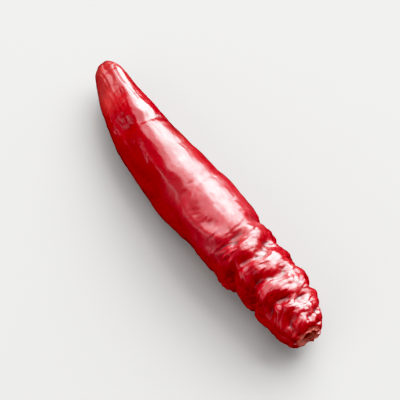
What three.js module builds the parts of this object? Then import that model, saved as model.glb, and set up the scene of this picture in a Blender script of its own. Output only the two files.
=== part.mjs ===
// Dried chili pepper: one whole pod, pulled from its stem, shrunken and wrinkled, lying on its side.
//
// Millimetres, +Z up. The pod's length lies along X, with the stem end at -X and the tip at +X.
// The origin is the middle of the pod's outer box, on the surface that the pod lies on.
// The pod grew as one piece, so it is one closed solid: a round skin drawn ring by ring along a
// gently bent axis, then pressed in by dents, lengthwise hollows, cross folds and puckers.

import * as THREE from 'three';
import { ImprovedNoise } from 'three/addons/math/ImprovedNoise.js';

// Driving dimensions of the pod
const podLength = 50;
const podRadius = 5.6; // at the widest place, before it shrinks
const heightShare = 0.88; // of that radius, up and down
const flatSpotDepth = 0.3; // how much the belly is pressed flat where it lies

// Course of the axis, at equal steps from the stem end to the tip: how far it stands aside, to +Y,
// and how high it runs above the surface, as shares of the radius. It runs level over the belly,
// so that the underside lies along the surface, and sinks to the tip.
const axisAside = [0, -0.04, 0.13, 0.28, 0.25, 0];
const axisHeight = [0.78, 0.82, 0.835, 0.81, 0.74, 0.66];

// The side that lies on the surface, as how steeply the skin faces down, and how much of the
// relief it loses
const undersideFrom = 0.55;
const undersideTo = 0.95;
const undersideCalm = 0.7;
const poleReach = 0.5; // of the radius: nearer to both ends of the axis than this, relief dies out

// Lengthwise hollows, where the drying skin fell in between three rounded ridges
const hollowCount = 3;
const hollowShareBelly = 0.045; // of the radius
const hollowShareTip = 0.13;
const hollowTwist = 0.028; // turn of the ridges, radians for each millimetre of length
const hollowStart = 0.75; // radians, where the first ridge stands at the stem end
const hollowBegin = [0.02, 0.2]; // shares of the length between which the hollows set in
const hollowDeepen = [0.35, 0.95]; // and between which they deepen to the tip's share

// Cross folds, gathered in the stem half
const foldStart = 2.1; // the first crease, from the stem end
const foldPitch = 3.5;
const foldDepth = 1.05;
const foldSharpness = 2.6; // higher is a narrower crease between rounder crests
const foldSway = 0.6; // how far a fold wanders as it goes round, in folds
const foldFace = 2.2; // radians, the side where the folds are deepest
const foldFaceShare = 0.22; // of the depth, that the folds lose between that side and one beside it
const foldBegin = [1.2, 3.2]; // from the stem end, where the close folds set in
const foldEnd = [14.5, 21.5]; // and where they die out
const foldPatch = [-0.42, 0.1]; // noise below the first value leaves a fold out, above the second keeps it

// Single creases across the smooth half: place along the pod, place round it, half their reach
const creases = [
  { at: 25.2, round: 1.8, reach: 1.1, width: 0.8, depth: 0.42, slant: 0.9 },
  { at: 37.4, round: 1.6, reach: 1.1, width: 0.7, depth: 0.4, slant: -0.8 },
  { at: 30.5, round: 3.9, reach: 1.0, width: 0.9, depth: 0.4, slant: -1.2 },
  { at: 44.5, round: 1.9, reach: 0.7, width: 0.7, depth: 0.16, slant: 0.7 },
];
const creaseWall = 1.4; // powers of the fall-off to a crease's sides and to its two ends
const creaseFade = 4;

// Broad dents: place along the pod, place round it, half lengths both ways, depth
const dents = [
  { at: 14.0, round: 2.75, along: 5.5, across: 0.6, depth: 0.8 },
  { at: 27.0, round: 0.15, along: 6.5, across: 0.55, depth: 0.7 },
  { at: 35.0, round: 0.75, along: 8.0, across: 0.5, depth: 0.35 },
  { at: 8.0, round: 0.35, along: 3.5, across: 0.55, depth: 0.7 },
  { at: 19.5, round: 5.6, along: 5.0, across: 0.5, depth: 0.7 },
  { at: 22.0, round: 3.6, along: 4.5, across: 0.45, depth: 0.6 },
];

// Puckers that run in to the scar where the stem was
const puckerCount = 9;
const puckerDepth = 0.42;
const puckerWander = 4.8; // radians for each unit of noise
const puckerEnd = [1.2, 5]; // where they die out, from the stem end
const scarFloor = [0.5, 1.6]; // radii between which the smooth bottom of the scar turns to puckers

// Unevenness of the whole skin
const unevenDepth = 0.28;

// Small wrinkles between the folds
const wrinkleDepth = 0.3;
const wrinkleNarrowness = 2.2;
const wrinkleSharpness = 1.5;
const wrinkleSwings = 3; // times that they swing along the pod in a round
const wrinkleWave = 0.5; // and how far
const wrinkleShareTip = 0.25; // of that depth, left at the tip
const wrinkleEnd = [9, 23]; // where they die down to that share, from the stem end

// Noise of the skin, one entry for each use: pitch along the pod, how many times as long its forms
// are round the pod, and where along the noise it starts
const swayNoise = { pitch: 16.25, stretch: 0.4, start: 3.1 };
const patchNoise = { pitch: 6.5, stretch: 0.8, start: 11.7 };
const puckerNoise = { pitch: 5, stretch: 1, start: 21.3 };
const unevenNoise = { pitch: 4.5, stretch: 1, start: 31.9 };
const wrinkleNoise = { pitch: 2.1, stretch: 2.4, start: 41.2 };
const noiseCentre = [7.3, 2.9]; // of the circle that stands for one round of the pod

// Fineness of the mesh
const ringCount = 104;
const sideCount = 46;
const stemCrowding = 0.34; // rings stand closer in the stem half
const axisStep = 0.5; // half the length over which the direction of the axis is taken

const tau = 2 * Math.PI;
const { clamp, lerp, smoothstep } = THREE.MathUtils;
const perlin = new ImprovedNoise();

// The outline turned round the axis, as [distance from the stem end, radius]: it starts at the
// bottom of the stem scar, comes out over the scar's rim and the shoulder, and ends at the tip.
const outlinePoints = [
  [0.034, 0], [0.031, 0.12], [0.009, 0.22], [0, 0.33], [0.008, 0.47], [0.034, 0.63], [0.08, 0.77],
  [0.14, 0.88], [0.22, 0.95], [0.34, 0.99], [0.46, 1], [0.56, 0.97], [0.68, 0.88], [0.8, 0.73],
  [0.9, 0.55], [0.96, 0.4], [0.99, 0.21], [1, 0],
];
const outline = new THREE.CatmullRomCurve3(
  outlinePoints.map(([along, out]) => new THREE.Vector3(along * podLength, out * podRadius, 0)),
  false,
  'centripetal',
);
outline.arcLengthDivisions = 800;

// A smooth line along the pod, through shares of the radius at equal steps
function course(shares) {
  const step = podLength / (shares.length - 1);
  const points = shares.map((share, place) => new THREE.Vector2(place * step, share * podRadius));
  return new THREE.SplineCurve(points);
}

const asideCourse = course(axisAside);
const heightCourse = course(axisHeight);

function axisPoint(distance) {
  const share = clamp(distance / podLength, 0, 1);
  return new THREE.Vector3(distance, asideCourse.getPoint(share).y, heightCourse.getPoint(share).y);
}

// Shortest turn between two angles, from -pi to pi
function turnBetween(angle, other) {
  return Math.atan2(Math.sin(angle - other), Math.cos(angle - other));
}

// Smooth noise on the skin, without a seam, because it reads the place round the pod as a circle
function skinNoise({ pitch, stretch, start }, distance, angle) {
  const around = podRadius / (pitch * stretch);
  const [y, z] = noiseCentre;
  return perlin.noise(distance / pitch + start, y + around * Math.cos(angle), z + around * Math.sin(angle));
}

// 1 on the side that lies on the surface, 0 on the rest
function underside(angle) {
  return smoothstep(-Math.sin(angle), undersideFrom, undersideTo);
}

function hollowShare(distance, angle) {
  const share = distance / podLength;
  const deep = lerp(hollowShareBelly, hollowShareTip, smoothstep(share, ...hollowDeepen));
  const ridge = hollowStart + hollowTwist * distance;
  const valley = 0.5 - 0.5 * Math.cos(hollowCount * (angle - ridge));
  return deep * valley * smoothstep(share, ...hollowBegin);
}

function foldRelief(distance, angle) {
  const sway = foldSway * skinNoise(swayNoise, distance, angle);
  const phase = (distance - foldStart) / foldPitch + sway;
  const crease = (0.5 + 0.5 * Math.cos(tau * phase)) ** foldSharpness;
  const patch = smoothstep(skinNoise(patchNoise, distance, angle), ...foldPatch);
  const side = 1 - foldFaceShare * (1 - Math.cos(angle - foldFace));
  const reach = smoothstep(distance, ...foldBegin) * (1 - smoothstep(distance, ...foldEnd));
  return foldDepth * crease * patch * side * reach;
}

function creaseRelief(distance, angle) {
  let depth = 0;
  for (const crease of creases) {
    const turn = turnBetween(angle, crease.round);
    const off = (distance - crease.at - crease.slant * turn) / crease.width;
    const fade = Math.exp(-((turn / crease.reach) ** creaseFade));
    depth += crease.depth * Math.exp(-(Math.abs(off) ** creaseWall)) * fade;
  }
  return depth;
}

function dentRelief(distance, angle) {
  let depth = 0;
  for (const dent of dents) {
    const along = (distance - dent.at) / dent.along;
    const across = turnBetween(angle, dent.round) / dent.across;
    depth += dent.depth * Math.exp(-(along ** 2 + across ** 2));
  }
  return depth;
}

function puckerRelief(distance, radius, angle) {
  const wander = puckerWander * skinNoise(puckerNoise, 0, angle);
  const crest = Math.abs(Math.cos(0.5 * (puckerCount * angle + wander)));
  const reach = smoothstep(radius, ...scarFloor) * (1 - smoothstep(distance, ...puckerEnd));
  return puckerDepth * (1 - crest) * reach;
}

function wrinkleRelief(distance, angle) {
  const noise = skinNoise(wrinkleNoise, distance + wrinkleWave * Math.sin(wrinkleSwings * angle), angle);
  const furrow = (1 - Math.min(1, wrinkleNarrowness * Math.abs(noise))) ** wrinkleSharpness;
  return wrinkleDepth * furrow * lerp(1, wrinkleShareTip, smoothstep(distance, ...wrinkleEnd));
}

// Distance from the axis to the skin at one place
function skinRadius(distance, radius, angle) {
  const folds = foldRelief(distance, angle) + creaseRelief(distance, angle);
  const uneven = unevenDepth * (0.5 + skinNoise(unevenNoise, distance, angle));
  const relief = folds + dentRelief(distance, angle) + uneven + wrinkleRelief(distance, angle);
  const calm = 1 - undersideCalm * underside(angle);
  const size = clamp(radius / (poleReach * podRadius), 0, 1);
  const pressed = relief * calm * size + puckerRelief(distance, radius, angle);
  return radius * (1 - hollowShare(distance, angle)) - pressed;
}

// A place on the skin of the pod as it lies, before the flat spot
function skinPoint(distance, radius, angle) {
  const centre = axisPoint(distance);
  const ahead = axisPoint(distance + axisStep).sub(axisPoint(distance - axisStep)).setZ(0).normalize();
  const aside = new THREE.Vector3(-ahead.y, ahead.x, 0);
  const out = skinRadius(distance, radius, angle);
  const point = centre.addScaledVector(aside, out * Math.cos(angle));
  point.z += heightShare * out * Math.sin(angle);
  return point;
}

// The pod: one vertex at the bottom of the scar, rings of vertices, and one vertex at the tip
function podGeometry() {
  const points = [skinPoint(outlinePoints[0][0] * podLength, 0, 0)];
  for (let ring = 1; ring < ringCount; ring += 1) {
    const step = ring / ringCount;
    const place = outline.getPointAt(step * (1 - stemCrowding * (1 - step)));
    for (let side = 0; side < sideCount; side += 1) {
      points.push(skinPoint(place.x, place.y, (tau * side) / sideCount));
    }
  }
  points.push(skinPoint(podLength, 0, 0));

  const lowest = Math.min(...points.map((point) => point.z));
  const surface = lowest + flatSpotDepth;
  const positions = points.flatMap((point) => [point.x, point.y, Math.max(point.z, surface)]);

  const last = points.length - 1;
  const index = [];
  const at = (ring, side) => 1 + (ring - 1) * sideCount + (side % sideCount);
  for (let side = 0; side < sideCount; side += 1) {
    index.push(0, at(1, side + 1), at(1, side));
    index.push(last, at(ringCount - 1, side), at(ringCount - 1, side + 1));
    for (let ring = 1; ring < ringCount - 1; ring += 1) {
      const corners = [at(ring, side), at(ring, side + 1), at(ring + 1, side + 1), at(ring + 1, side)];
      index.push(corners[0], corners[1], corners[2]);
      index.push(corners[0], corners[2], corners[3]);
    }
  }

  const geometry = new THREE.BufferGeometry();
  geometry.setAttribute('position', new THREE.Float32BufferAttribute(positions, 3));
  geometry.setIndex(index);
  geometry.computeBoundingBox();
  const { min, max } = geometry.boundingBox;
  geometry.translate(-(min.x + max.x) / 2, -(min.y + max.y) / 2, -min.z);
  geometry.computeVertexNormals();
  return geometry;
}

const driedSkin = new THREE.MeshStandardMaterial({ color: 0xa80d14, roughness: 0.32, metalness: 0 });
const pod = new THREE.Mesh(podGeometry(), driedSkin);
pod.name = 'pod';

const driedChiliPepper = new THREE.Group();
driedChiliPepper.name = 'dried_chili_pepper';
driedChiliPepper.add(pod);

export default driedChiliPepper;
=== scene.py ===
import math

import bmesh
import bpy
from mathutils import Matrix, Vector, noise


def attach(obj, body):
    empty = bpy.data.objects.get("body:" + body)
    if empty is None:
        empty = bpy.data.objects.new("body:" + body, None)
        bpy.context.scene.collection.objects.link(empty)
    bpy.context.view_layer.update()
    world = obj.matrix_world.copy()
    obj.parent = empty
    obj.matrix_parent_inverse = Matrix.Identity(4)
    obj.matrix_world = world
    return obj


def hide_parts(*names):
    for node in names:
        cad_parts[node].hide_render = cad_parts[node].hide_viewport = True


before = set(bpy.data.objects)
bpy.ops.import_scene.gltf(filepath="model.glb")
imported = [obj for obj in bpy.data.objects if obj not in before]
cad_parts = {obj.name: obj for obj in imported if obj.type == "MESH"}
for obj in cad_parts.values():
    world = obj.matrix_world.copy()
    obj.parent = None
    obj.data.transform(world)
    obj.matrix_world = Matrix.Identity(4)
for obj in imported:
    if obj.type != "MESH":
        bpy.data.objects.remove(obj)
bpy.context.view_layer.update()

# A dried chili pepper: one glossy, wrinkled pod lying on a pale floor. Metres, Z up, length along X
# with the stem end at -X. The relief of the skin is worked out in millimetres.
mm = 0.001


class Wire:                                         # one shader socket, so that its maths reads as Python
    def __init__(self, tree, socket=None):
        self.tree = tree
        self.socket = socket

    def node(self, kind, settings=None, values=None, out=0):
        made = self.tree.nodes.new("ShaderNode" + kind)
        for name, value in (settings or {}).items():
            setattr(made, name, value)
        for name, value in (values or {}).items():
            if isinstance(value, Wire):
                self.tree.links.new(value.socket, made.inputs[name])
            else:
                made.inputs[name].default_value = value
        return Wire(self.tree, made.outputs[out] if made.outputs else None)

    def maths(self, operation, first, second):
        return self.node("Math", {"operation": operation}, {0: first, 1: second})

    def __add__(self, other):
        return self.maths("ADD", self, other)

    def __radd__(self, other):
        return self.maths("ADD", other, self)

    def __sub__(self, other):
        return self.maths("SUBTRACT", self, other)

    def __rsub__(self, other):
        return self.maths("SUBTRACT", other, self)

    def __mul__(self, other):
        return self.maths("MULTIPLY", self, other)

    def __rmul__(self, other):
        return self.maths("MULTIPLY", other, self)

    def ease(self, low, high):                      # 0 below low, 1 above high, smooth between
        settings = {"interpolation_type": "SMOOTHSTEP"}
        return self.node("MapRange", settings, {"Value": self, "From Min": low, "From Max": high})

    def mix(self, first, second, amount):           # the first colour turned towards the second
        settings = {"data_type": "RGBA"}
        return self.node("Mix", settings, {0: amount, 6: first, 7: second}, out=2)


def smoothStep(value, low, high):
    share = min(1.0, max(0.0, (value - low) / (high - low)))
    return share * share * (3.0 - 2.0 * share)


def atLeast(least, share):                          # least where share is 0, 1 where it is 1
    return least + (1.0 - least) * share


# The pod's skin. Lengths are in mm, and places along it are counted from the stem end.
# A pitch is how far apart things lie along the pod and round it.
podSkin = {
    "mergeGap": 0.002,                              # corners closer than this are one
    "smoothing": 2,                                 # subdivision levels, before the fine relief
    "axisSlices": 30,                               # the pod's axis is found from this many slices
    "swayPitch": (5.0, 4.0), "sway": 1.3,           # how the wrinkles wander
    "crossPitch": (1.25, 3.4), "crossDepth": 0.2,   # fine wrinkles across the pod
    "crossPower": 1.6, "crossLeast": 0.25,          # how narrow they are, what is left of them at the tip
    "patchPitch": (4.2, 3.0), "patchKept": (-0.3, 0.35),    # the patches that have them
    "finePitch": (0.62, 1.5), "fineDepth": 0.08,    # finer ones between
    "fineLeast": 0.15,
    "lengthPitch": (11.0, 0.8), "lengthDepth": 0.055,       # lengthwise furrows, strongest at the tip
    "lengthLeast": 0.2,
    "dentPitch": (2.6, 2.2), "dentDepth": 0.12,     # shallow dents all over
    "lineNarrow": 2.4,                              # higher for narrower wrinkles and furrows
    "crossEnd": (12.0, 23.0),                       # where the cross wrinkles fade
    "lengthStart": (22.0, 46.0),                    # where the furrows grow
    "bellyFacing": (0.6, 0.98), "bellyHeight": (0.2, 0.8),  # the spot that it lies on
    "bellySmooth": 0.4,                             # share of the relief that is pressed out there
    "rimRadius": 1.8, "rimWidth": 0.45,             # the torn edge round the stem scar
    "rimDepth": 0.35, "rimEnd": (0.8, 2.2), "rimTears": 3.2,        # more tears for finer ones
    "ribPlace": 50.0, "ribWidth": 10.0,             # a rib along the folded half, degrees up from the left
    "ribSway": 14.0, "ribPitch": 6.0, "ribHeight": 0.25,
    "ribStart": (2.0, 5.0), "ribEnd": (20.0, 25.0),
    "hollowReach": 14,                              # smoothing steps that tell a hollow from a crest
    "hollowDepth": 0.16,                            # depth that counts as a full hollow
}


def centreLine(mesh):
    slices = podSkin["axisSlices"]
    low = min(v.co.x for v in mesh.vertices)
    high = max(v.co.x for v in mesh.vertices)
    sums = [[0.0, 0.0, 0] for _ in range(slices + 1)]
    for v in mesh.vertices:
        entry = sums[round((v.co.x - low) / (high - low) * slices)]
        entry[0] += v.co.y
        entry[1] += v.co.z
        entry[2] += 1
    points = [(y / n, z / n) for y, z, n in sums]

    def at(x):
        place = (x - low) / (high - low) * slices
        step = min(slices - 1, max(0, int(place)))
        share = min(1.0, max(0.0, place - step))
        before, after = points[step], points[step + 1]
        return [a + (b - a) * share for a, b in zip(before, after)]

    return at


def ridge(point):                                   # 1 along thin wandering lines, 0 between them
    return max(0.0, 1.0 - podSkin["lineNarrow"] * abs(noise.noise(point)))


def fineRelief(x, y, z):                            # depth pressed in, at a place given from the axis
    def spot(pitch, shift=(0.0, 0.0, 0.0)):         # a shift gives each kind of relief its own noise
        along, around = podSkin[pitch]
        return Vector((x / along + shift[0], y / around + shift[1], z / around + shift[2]))

    stem = 1.0 - smoothStep(x, *podSkin["crossEnd"])
    tip = smoothStep(x, *podSkin["lengthStart"])
    sway = podSkin["sway"] * noise.noise(spot("swayPitch"))
    patch = smoothStep(noise.noise(spot("patchPitch", (9.0, 0.0, 0.0))), *podSkin["patchKept"])
    cross = ridge(spot("crossPitch", (sway, 0.0, 6.3))) ** podSkin["crossPower"]
    fine = ridge(spot("finePitch", (2.0 * sway, 3.0, 0.0)))
    length = ridge(spot("lengthPitch", (0.0, 0.0, 1.0)))
    dent = 0.5 + noise.noise(spot("dentPitch", (0.0, 0.0, 8.0)))
    depth = podSkin["crossDepth"] * cross * atLeast(podSkin["crossLeast"], stem) * patch
    depth += podSkin["fineDepth"] * fine * atLeast(podSkin["fineLeast"], stem)
    depth += podSkin["lengthDepth"] * length * atLeast(podSkin["lengthLeast"], tip)
    return depth + podSkin["dentDepth"] * dent


def tornRim(x, fromScar, turn):                     # 1 where the edge of the scar is torn deepest
    tears = podSkin["rimTears"]
    torn = 0.5 + noise.noise(Vector((tears * math.cos(turn), tears * math.sin(turn), 4.0)))
    rim = math.exp(-((fromScar - podSkin["rimRadius"]) / podSkin["rimWidth"]) ** 2)
    return rim * (1.0 - smoothStep(x, *podSkin["rimEnd"])) * torn


def rib(x, turn):                                   # 1 along the rib that runs down the folded half
    sway = noise.noise(Vector((x / podSkin["ribPitch"], 2.0, 5.0)))
    place = podSkin["ribPlace"] + podSkin["ribSway"] * sway
    along = smoothStep(x, *podSkin["ribStart"]) * (1.0 - smoothStep(x, *podSkin["ribEnd"]))
    return math.exp(-((math.degrees(turn) - place) / podSkin["ribWidth"]) ** 2) * along


def mergedCopy(node):                               # the CAD node's loose triangles, merged to quads
    bm = bmesh.new()
    bm.from_mesh(node.data)
    bmesh.ops.remove_doubles(bm, verts=bm.verts, dist=podSkin["mergeGap"] * mm)
    anyAngles = {"angle_face_threshold": math.pi, "angle_shape_threshold": math.pi}
    bmesh.ops.join_triangles(bm, faces=bm.faces, **anyAngles)
    mesh = bpy.data.meshes.new("podRough")
    bm.to_mesh(mesh)
    bm.free()
    return mesh


def smoothed(rough):
    helper = bpy.data.objects.new("podHelper", rough)
    bpy.context.scene.collection.objects.link(helper)
    finer = helper.modifiers.new("finer", "SUBSURF")
    finer.levels = finer.render_levels = podSkin["smoothing"]
    evaluated = helper.evaluated_get(bpy.context.evaluated_depsgraph_get())
    mesh = bpy.data.meshes.new_from_object(evaluated)
    bpy.data.objects.remove(helper)
    bpy.data.meshes.remove(rough)
    return mesh


def pressRelief(bm, axisAt, scar):
    stemEnd, scarY, scarZ = scar
    moves = []
    for v in bm.verts:
        axisY, axisZ = axisAt(v.co.x)
        x, y, z = (v.co.x - stemEnd) / mm, (v.co.y - axisY) / mm, (v.co.z - axisZ) / mm
        lying = 1.0 - smoothStep(v.co.z / mm, *podSkin["bellyHeight"])
        belly = smoothStep(-v.normal.z, *podSkin["bellyFacing"]) * lying
        depth = fineRelief(x, y, z) * (1.0 - podSkin["bellySmooth"] * belly)
        fromScar = math.hypot(v.co.y - scarY, v.co.z - scarZ) / mm
        turn = math.atan2(z, y)
        depth += podSkin["rimDepth"] * tornRim(x, fromScar, turn)
        depth -= podSkin["ribHeight"] * rib(x, turn)
        moves.append(v.normal * (-depth * mm))
    for v, move in zip(bm.verts, moves):
        v.co += move
        v.co.z = max(v.co.z, 0.0)
    bm.normal_update()


def findHollows(bm):                                # for each place, 0 on a crest and 1 in a deep crease
    shape = [v.co.copy() for v in bm.verts]
    allAxes = {"use_axis_x": True, "use_axis_y": True, "use_axis_z": True}
    for _ in range(podSkin["hollowReach"]):
        bmesh.ops.smooth_vert(bm, verts=bm.verts, factor=0.5, **allAxes)
    hollows = []
    for v, was in zip(bm.verts, shape):
        below = (v.co - was).dot(v.normal) / mm     # how far it lies below the smoothed skin
        hollows.append(min(1.0, max(0.0, 0.5 + 0.5 * below / podSkin["hollowDepth"])))
        v.co = was
    return hollows


def makeSkin(node):
    rough = mergedCopy(node)
    axisAt = centreLine(rough)
    mesh = smoothed(rough)
    bm = bmesh.new()
    bm.from_mesh(mesh)
    bm.normal_update()
    stemEnd = min(v.co.x for v in bm.verts)
    scar = (stemEnd, *axisAt(stemEnd))
    pressRelief(bm, axisAt, scar)
    hollows = findHollows(bm)
    bm.to_mesh(mesh)
    bm.free()
    hollow = mesh.attributes.new("hollow", "FLOAT", "POINT")
    hollow.data.foreach_set("value", hollows)
    mesh.polygons.foreach_set("use_smooth", [True] * len(mesh.polygons))
    mesh.update()
    print("skin:", len(mesh.polygons), "faces")
    return mesh, scar


# Its finish. Places are in metres on the object, and amounts run from 0 to 1.
podFinish = {
    "crimson": (0.235, 0.003, 0.008, 1.0),
    "scarlet": (0.33, 0.009, 0.008, 1.0),           # brighter patches, where light gets through; also the painted highlight on fold crests
    "rose": (0.58, 0.035, 0.055, 1.0),              # painted highlight on the fold crests and over the folded half, and a paler painted sheen on top where the folds begin
    "maroon": (0.065, 0.002, 0.004, 1.0),           # darker mottling and specks, and painted shade in the creases
    "salmon": (0.46, 0.09, 0.075, 1.0),             # paler streaks just behind the tip, a painted highlight
    "burnt": (0.060, 0.008, 0.006, 1.0),            # the tip
    "straw": (0.62, 0.17, 0.11, 1.0),               # the torn edge at the stem
    "fibre": (0.055, 0.014, 0.009, 1.0),            # painted shade in the scar's pit
    "paint": {                                      # how strongly each colour lies where it does
        "patches": 0.5, "streaks": 0.18, "crest": 0.3,
        "roseCrest": 0.35, "rose": 0.05, "bloom": 0.12,
        "mottle": 0.4, "crease": 0.8, "specks": 0.35,
        "tipSheenStreaks": 0.2, "tipSheen": 0.08, "tip": 0.6,
        "edge": 0.4, "pit": 0.9,
    },
    "gloss": 0.21,                                  # roughness of the skin, and what is added to it
    "duller": {"crease": 0.2, "patches": 0.08, "mottle": 0.08, "edge": 0.3, "pit": 0.4, "bloom": 0.13},
    "wax": 0.8,                                     # coat where the waxy shine is strongest
    "patterns": {                                   # scale, stretch, detail, roughness, the part kept
        "patches": (150.0, (0.7, 1.0), 3.0, 0.5, (0.42, 0.68)),
        "streaks": (900.0, (0.09, 1.0), 2.0, 0.5, (0.35, 0.75)),
        "specks": (2600.0, (1.0, 1.0), 1.0, 0.5, (0.60, 0.74)),
        "grain": (3800.0, (0.6, 1.0), 3.0, 0.6, None),
        "mottle": (75.0, (0.6, 1.0), 4.0, 0.6, (0.48, 0.66)),
        "wax": (520.0, (0.6, 1.0), 3.0, 0.6, (0.42, 0.62)),
        "ripple": (1500.0, (1.7, 0.5), 2.0, 0.5, None),
        "furrows": (1500.0, (0.12, 1.0), 2.0, 0.5, None),
    },
    "creaseKept": (0.50, 0.80), "crestKept": (0.12, 0.48),  # how hollow it is there
    "smoothStart": (-0.012, 0.002),                 # where the folds give way to smooth skin
    "bloomStart": (-0.0125, -0.007), "bloomEnd": (-0.001, 0.005), "bloomHeight": (0.0035, 0.0070),
    "bloomStreaks": 0.5, "bloomWax": 0.4, "bloomLeast": 0.35,
    "tipSheenStart": (0.0160, 0.0240), "tipSheenWander": 0.004,     # how far a border strays
    "tipStart": (0.0238, 0.0252), "tipWander": 0.001,
    "pitEnd": (0.0009, 0.0013),                     # distances from the middle of the scar
    "edgeStart": (0.0010, 0.0013), "edgeEnd": (0.0014, 0.0020), "edgeWander": 0.0004,
    "bumpStrength": 0.5, "bumpHeight": 0.00010,     # the skin's finest relief
    "grainBump": 0.3, "rippleBump": 0.7, "rippleSmooth": 0.5, "furrowBump": 0.5,
    "shader": {
        "Specular IOR Level": 0.9, "Specular Tint": (1.0, 0.85, 0.87, 1.0), "Coat Roughness": 0.14,
        "Subsurface Weight": 0.08, "Subsurface Radius": (1.0, 0.12, 0.08), "Subsurface Scale": 0.0015,
    },
}


def makeFinish(scar):
    material = bpy.data.materials.new("driedSkin")
    material.use_nodes = True
    material.node_tree.nodes.clear()
    start = Wire(material.node_tree)
    place = start.node("TexCoord", out="Object")
    x = start.node("SeparateXYZ", values={"Vector": place}, out="X")
    z = start.node("SeparateXYZ", values={"Vector": place}, out="Z")

    def pattern(name):
        scale, (along, around), detail, roughness, kept = podFinish["patterns"][name]
        stretched = start.node("Mapping", values={"Vector": place, "Scale": (along, around, around)})
        values = {"Vector": stretched, "Scale": scale, "Detail": detail, "Roughness": roughness}
        made = start.node("TexNoise", values=values)
        return made.ease(*kept) if kept else made

    patches, streaks, specks, grain = [pattern(name) for name in ("patches", "streaks", "specks", "grain")]
    mottle, wax, ripple, furrows = [pattern(name) for name in ("mottle", "wax", "ripple", "furrows")]

    # Crests, creases and the smooth half: the crests take a painted highlight, the creases painted shade
    hollow = start.node("Attribute", {"attribute_name": "hollow"}, out="Fac")
    crease = hollow.ease(*podFinish["creaseKept"])
    crest = 1 - hollow.ease(*podFinish["crestKept"])
    smooth = x.ease(*podFinish["smoothStart"])      # 0 on the folded half, 1 on the smooth half

    # Bloom and painted sheen: a duller top where the folds begin, also painted paler there as a highlight
    bloom = x.ease(*podFinish["bloomStart"]) * (1 - x.ease(*podFinish["bloomEnd"]))
    uneven = streaks * podFinish["bloomStreaks"] + wax * podFinish["bloomWax"] + podFinish["bloomLeast"]
    bloom = bloom * uneven * z.ease(*podFinish["bloomHeight"])

    # A painted highlight behind the tip, and the tip, with straying borders
    wander = podFinish["tipSheenWander"]
    tipSheen = (x + (patches - 0.5) * wander + (grain - 0.5) * wander).ease(*podFinish["tipSheenStart"])
    tip = (x + (grain - 0.5) * podFinish["tipWander"]).ease(*podFinish["tipStart"])

    # The scar where the stem was: a pale torn edge round a pit painted dark as shade
    centre = start.node("VectorMath", {"operation": "SUBTRACT"}, {0: place, 1: scar})
    fromScar = start.node("VectorMath", {"operation": "LENGTH"}, {0: centre}, out="Value")
    wander = podFinish["edgeWander"]
    fromScar = fromScar + (streaks - 0.5) * wander + (patches - 0.5) * wander
    edge = fromScar.ease(*podFinish["edgeStart"]) * (1 - fromScar.ease(*podFinish["edgeEnd"]))
    pit = 1 - fromScar.ease(*podFinish["pitEnd"])

    # Each colour lies over the ones before it
    paint = podFinish["paint"]
    layers = [
        ("scarlet", patches * paint["patches"] + streaks * paint["streaks"]),
        # painted highlight: the crests of the folds made brighter
        ("scarlet", crest * paint["crest"]),
        # painted highlight on the folded half and its crests, and painted sheen on the top where the folds
        # begin
        ("rose", (crest * paint["roseCrest"] + paint["rose"]) * (1 - smooth) + bloom * paint["bloom"]),
        ("maroon", mottle * paint["mottle"]),
        # painted shade: the creases darkened
        ("maroon", crease * paint["crease"]),
        ("maroon", specks * paint["specks"]),
        # painted highlight: paler salmon streaks behind the tip
        ("salmon", tipSheen * (streaks * paint["tipSheenStreaks"] + paint["tipSheen"])),
        ("burnt", tip * paint["tip"]),
        ("straw", edge * paint["edge"]),
        # painted shade: the scar's pit darkened as a hole would be
        ("fibre", pit * paint["pit"]),
    ]
    colour = podFinish["crimson"]
    for name, amount in layers:
        colour = start.mix(colour, podFinish[name], amount)

    masks = {"crease": crease, "patches": patches, "mottle": mottle}
    masks.update({"edge": edge, "pit": pit, "bloom": bloom})
    rough = podFinish["gloss"]
    for name, amount in podFinish["duller"].items():
        rough = rough + masks[name] * amount
    coat = wax * podFinish["wax"] * (1 - pit) * (1 - edge)

    height = grain * podFinish["grainBump"]
    height = height + ripple * (podFinish["rippleBump"] - smooth * podFinish["rippleSmooth"])
    height = height + furrows * smooth * podFinish["furrowBump"]
    values = {"Strength": podFinish["bumpStrength"], "Distance": podFinish["bumpHeight"], "Height": height}
    bump = start.node("Bump", values=values)
    values = {"Base Color": colour, "Roughness": rough, "Coat Weight": coat, "Normal": bump}
    shader = start.node("BsdfPrincipled", values={**values, **podFinish["shader"]})
    start.node("OutputMaterial", values={"Surface": shader})
    return material


skinMesh, scarPlace = makeSkin(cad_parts["pod"])
skinMesh.materials.clear()
skinMesh.materials.append(makeFinish(scarPlace))
skin = bpy.data.objects.new("podSkin", skinMesh)
bpy.context.scene.collection.objects.link(skin)
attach(skin, "root")
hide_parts("pod")
print("pod finished")

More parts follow.
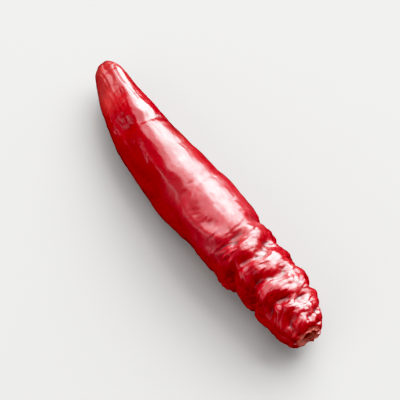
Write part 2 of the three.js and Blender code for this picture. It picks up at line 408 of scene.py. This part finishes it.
# Floor, lights and camera
view = {
    "azimuth": 237.4, "elevation": 60.0,            # degrees: the photograph looks down at about 60
    "lens": 290.0, "distance": 0.42, "nearest": 0.01,
    "aim": (0.0, 0.0, 0.0035),
}
studio = {
    "floorSize": 4.0, "floorColour": (0.34, 0.338, 0.333, 1.0),
    "floorRoughness": 0.9, "floorShine": 0.2,
    "skyColour": (1.0, 0.99, 0.98, 1.0), "skyStrength": 0.4,
    "lights": {                                     # size, watts, place (right, away, up), seen in gloss
        "keyLight": ((1.9, 1.2), 31.0, (0.42, 0.64, 0.55), True),
        "topLight": ((2.0, 1.1), 12.0, (-0.2, 0.48, 1.05), True),
        "fillLight": ((1.4, 1.0), 8.0, (-0.75, -0.35, 0.45), False),
        "rimLight": ((1.1, 0.08), 0.4, (-0.75, -0.25, 0.30), True),
        "glintLight": ((0.9, 0.40), 6.5, (0.29, 0.62, 0.40), True),
    },
    "haze": 0.018,                                  # taken off the reds for the photograph's deep blacks
    "shoulder": ((0.35, 0.35), (0.65, 0.65), (1.15, 0.91), (3.0, 1.0)),     # light in, light out
}

turn = math.radians(view["azimuth"])
tilt = math.radians(view["elevation"])
away = Vector((-math.sin(turn), math.cos(turn), 0.0))
right = Vector((math.cos(turn), math.sin(turn), 0.0))
aim = Vector(view["aim"])


def addLight(name, size, power, place, shines):     # its longer side runs with the pod
    lamp = bpy.data.lights.new(name, "AREA")
    lamp.shape = "ELLIPSE"
    lamp.size, lamp.size_y = size
    lamp.energy = power
    item = bpy.data.objects.new(name, lamp)
    bpy.context.scene.collection.objects.link(item)
    item.location = aim + right * place[0] + away * place[1] + Vector((0.0, 0.0, place[2]))
    back = (item.location - aim).normalized()
    across = back.cross(Vector((1.0, 0.0, 0.0))).normalized()
    along = across.cross(back)
    item.rotation_euler = Matrix((along, across, back)).transposed().to_euler()
    item.visible_glossy = shines


for name, light in studio["lights"].items():
    addLight(name, *light)

bm = bmesh.new()
bmesh.ops.create_grid(bm, x_segments=1, y_segments=1, size=studio["floorSize"] / 2)
floorMesh = bpy.data.meshes.new("floor")
bm.to_mesh(floorMesh)
bm.free()
floorPaint = bpy.data.materials.new("palePaper")
floorPaint.use_nodes = True
floorShader = floorPaint.node_tree.nodes["Principled BSDF"]
floorShader.inputs["Base Color"].default_value = studio["floorColour"]
floorShader.inputs["Roughness"].default_value = studio["floorRoughness"]
floorShader.inputs["Specular IOR Level"].default_value = studio["floorShine"]
floorMesh.materials.append(floorPaint)
floor = bpy.data.objects.new("floor", floorMesh)
bpy.context.scene.collection.objects.link(floor)
floor.visible_glossy = False                        # the pod's gloss shows neither the floor nor the sky

sky = bpy.data.worlds.new("sky")
sky.use_nodes = True
sky.node_tree.nodes["Background"].inputs["Color"].default_value = studio["skyColour"]
sky.node_tree.nodes["Background"].inputs["Strength"].default_value = studio["skyStrength"]
sky.cycles_visibility.glossy = False
bpy.context.scene.world = sky

look = bpy.context.scene.view_settings
look.view_transform = "Standard"
look.use_curve_mapping = True
look.curve_mapping.black_level = [studio["haze"]] * 3
look.curve_mapping.clip_max_x = studio["shoulder"][-1][0]
tone = look.curve_mapping.curves[3]                 # all channels, with a soft shoulder for highlights
tone.points[1].location = studio["shoulder"][-1]
for lightIn, lightOut in studio["shoulder"][:-1]:
    tone.points.new(lightIn, lightOut)
look.curve_mapping.update()

camera = bpy.data.objects.new("camera", bpy.data.cameras.new("camera"))
bpy.context.scene.collection.objects.link(camera)
camera.data.lens = view["lens"]
camera.data.clip_start = view["nearest"]
camera.location = aim + (Vector((0.0, 0.0, math.sin(tilt))) - away * math.cos(tilt)) * view["distance"]
camera.rotation_euler = (aim - camera.location).to_track_quat("-Z", "Y").to_euler()
bpy.context.scene.camera = camera
print("studio set")
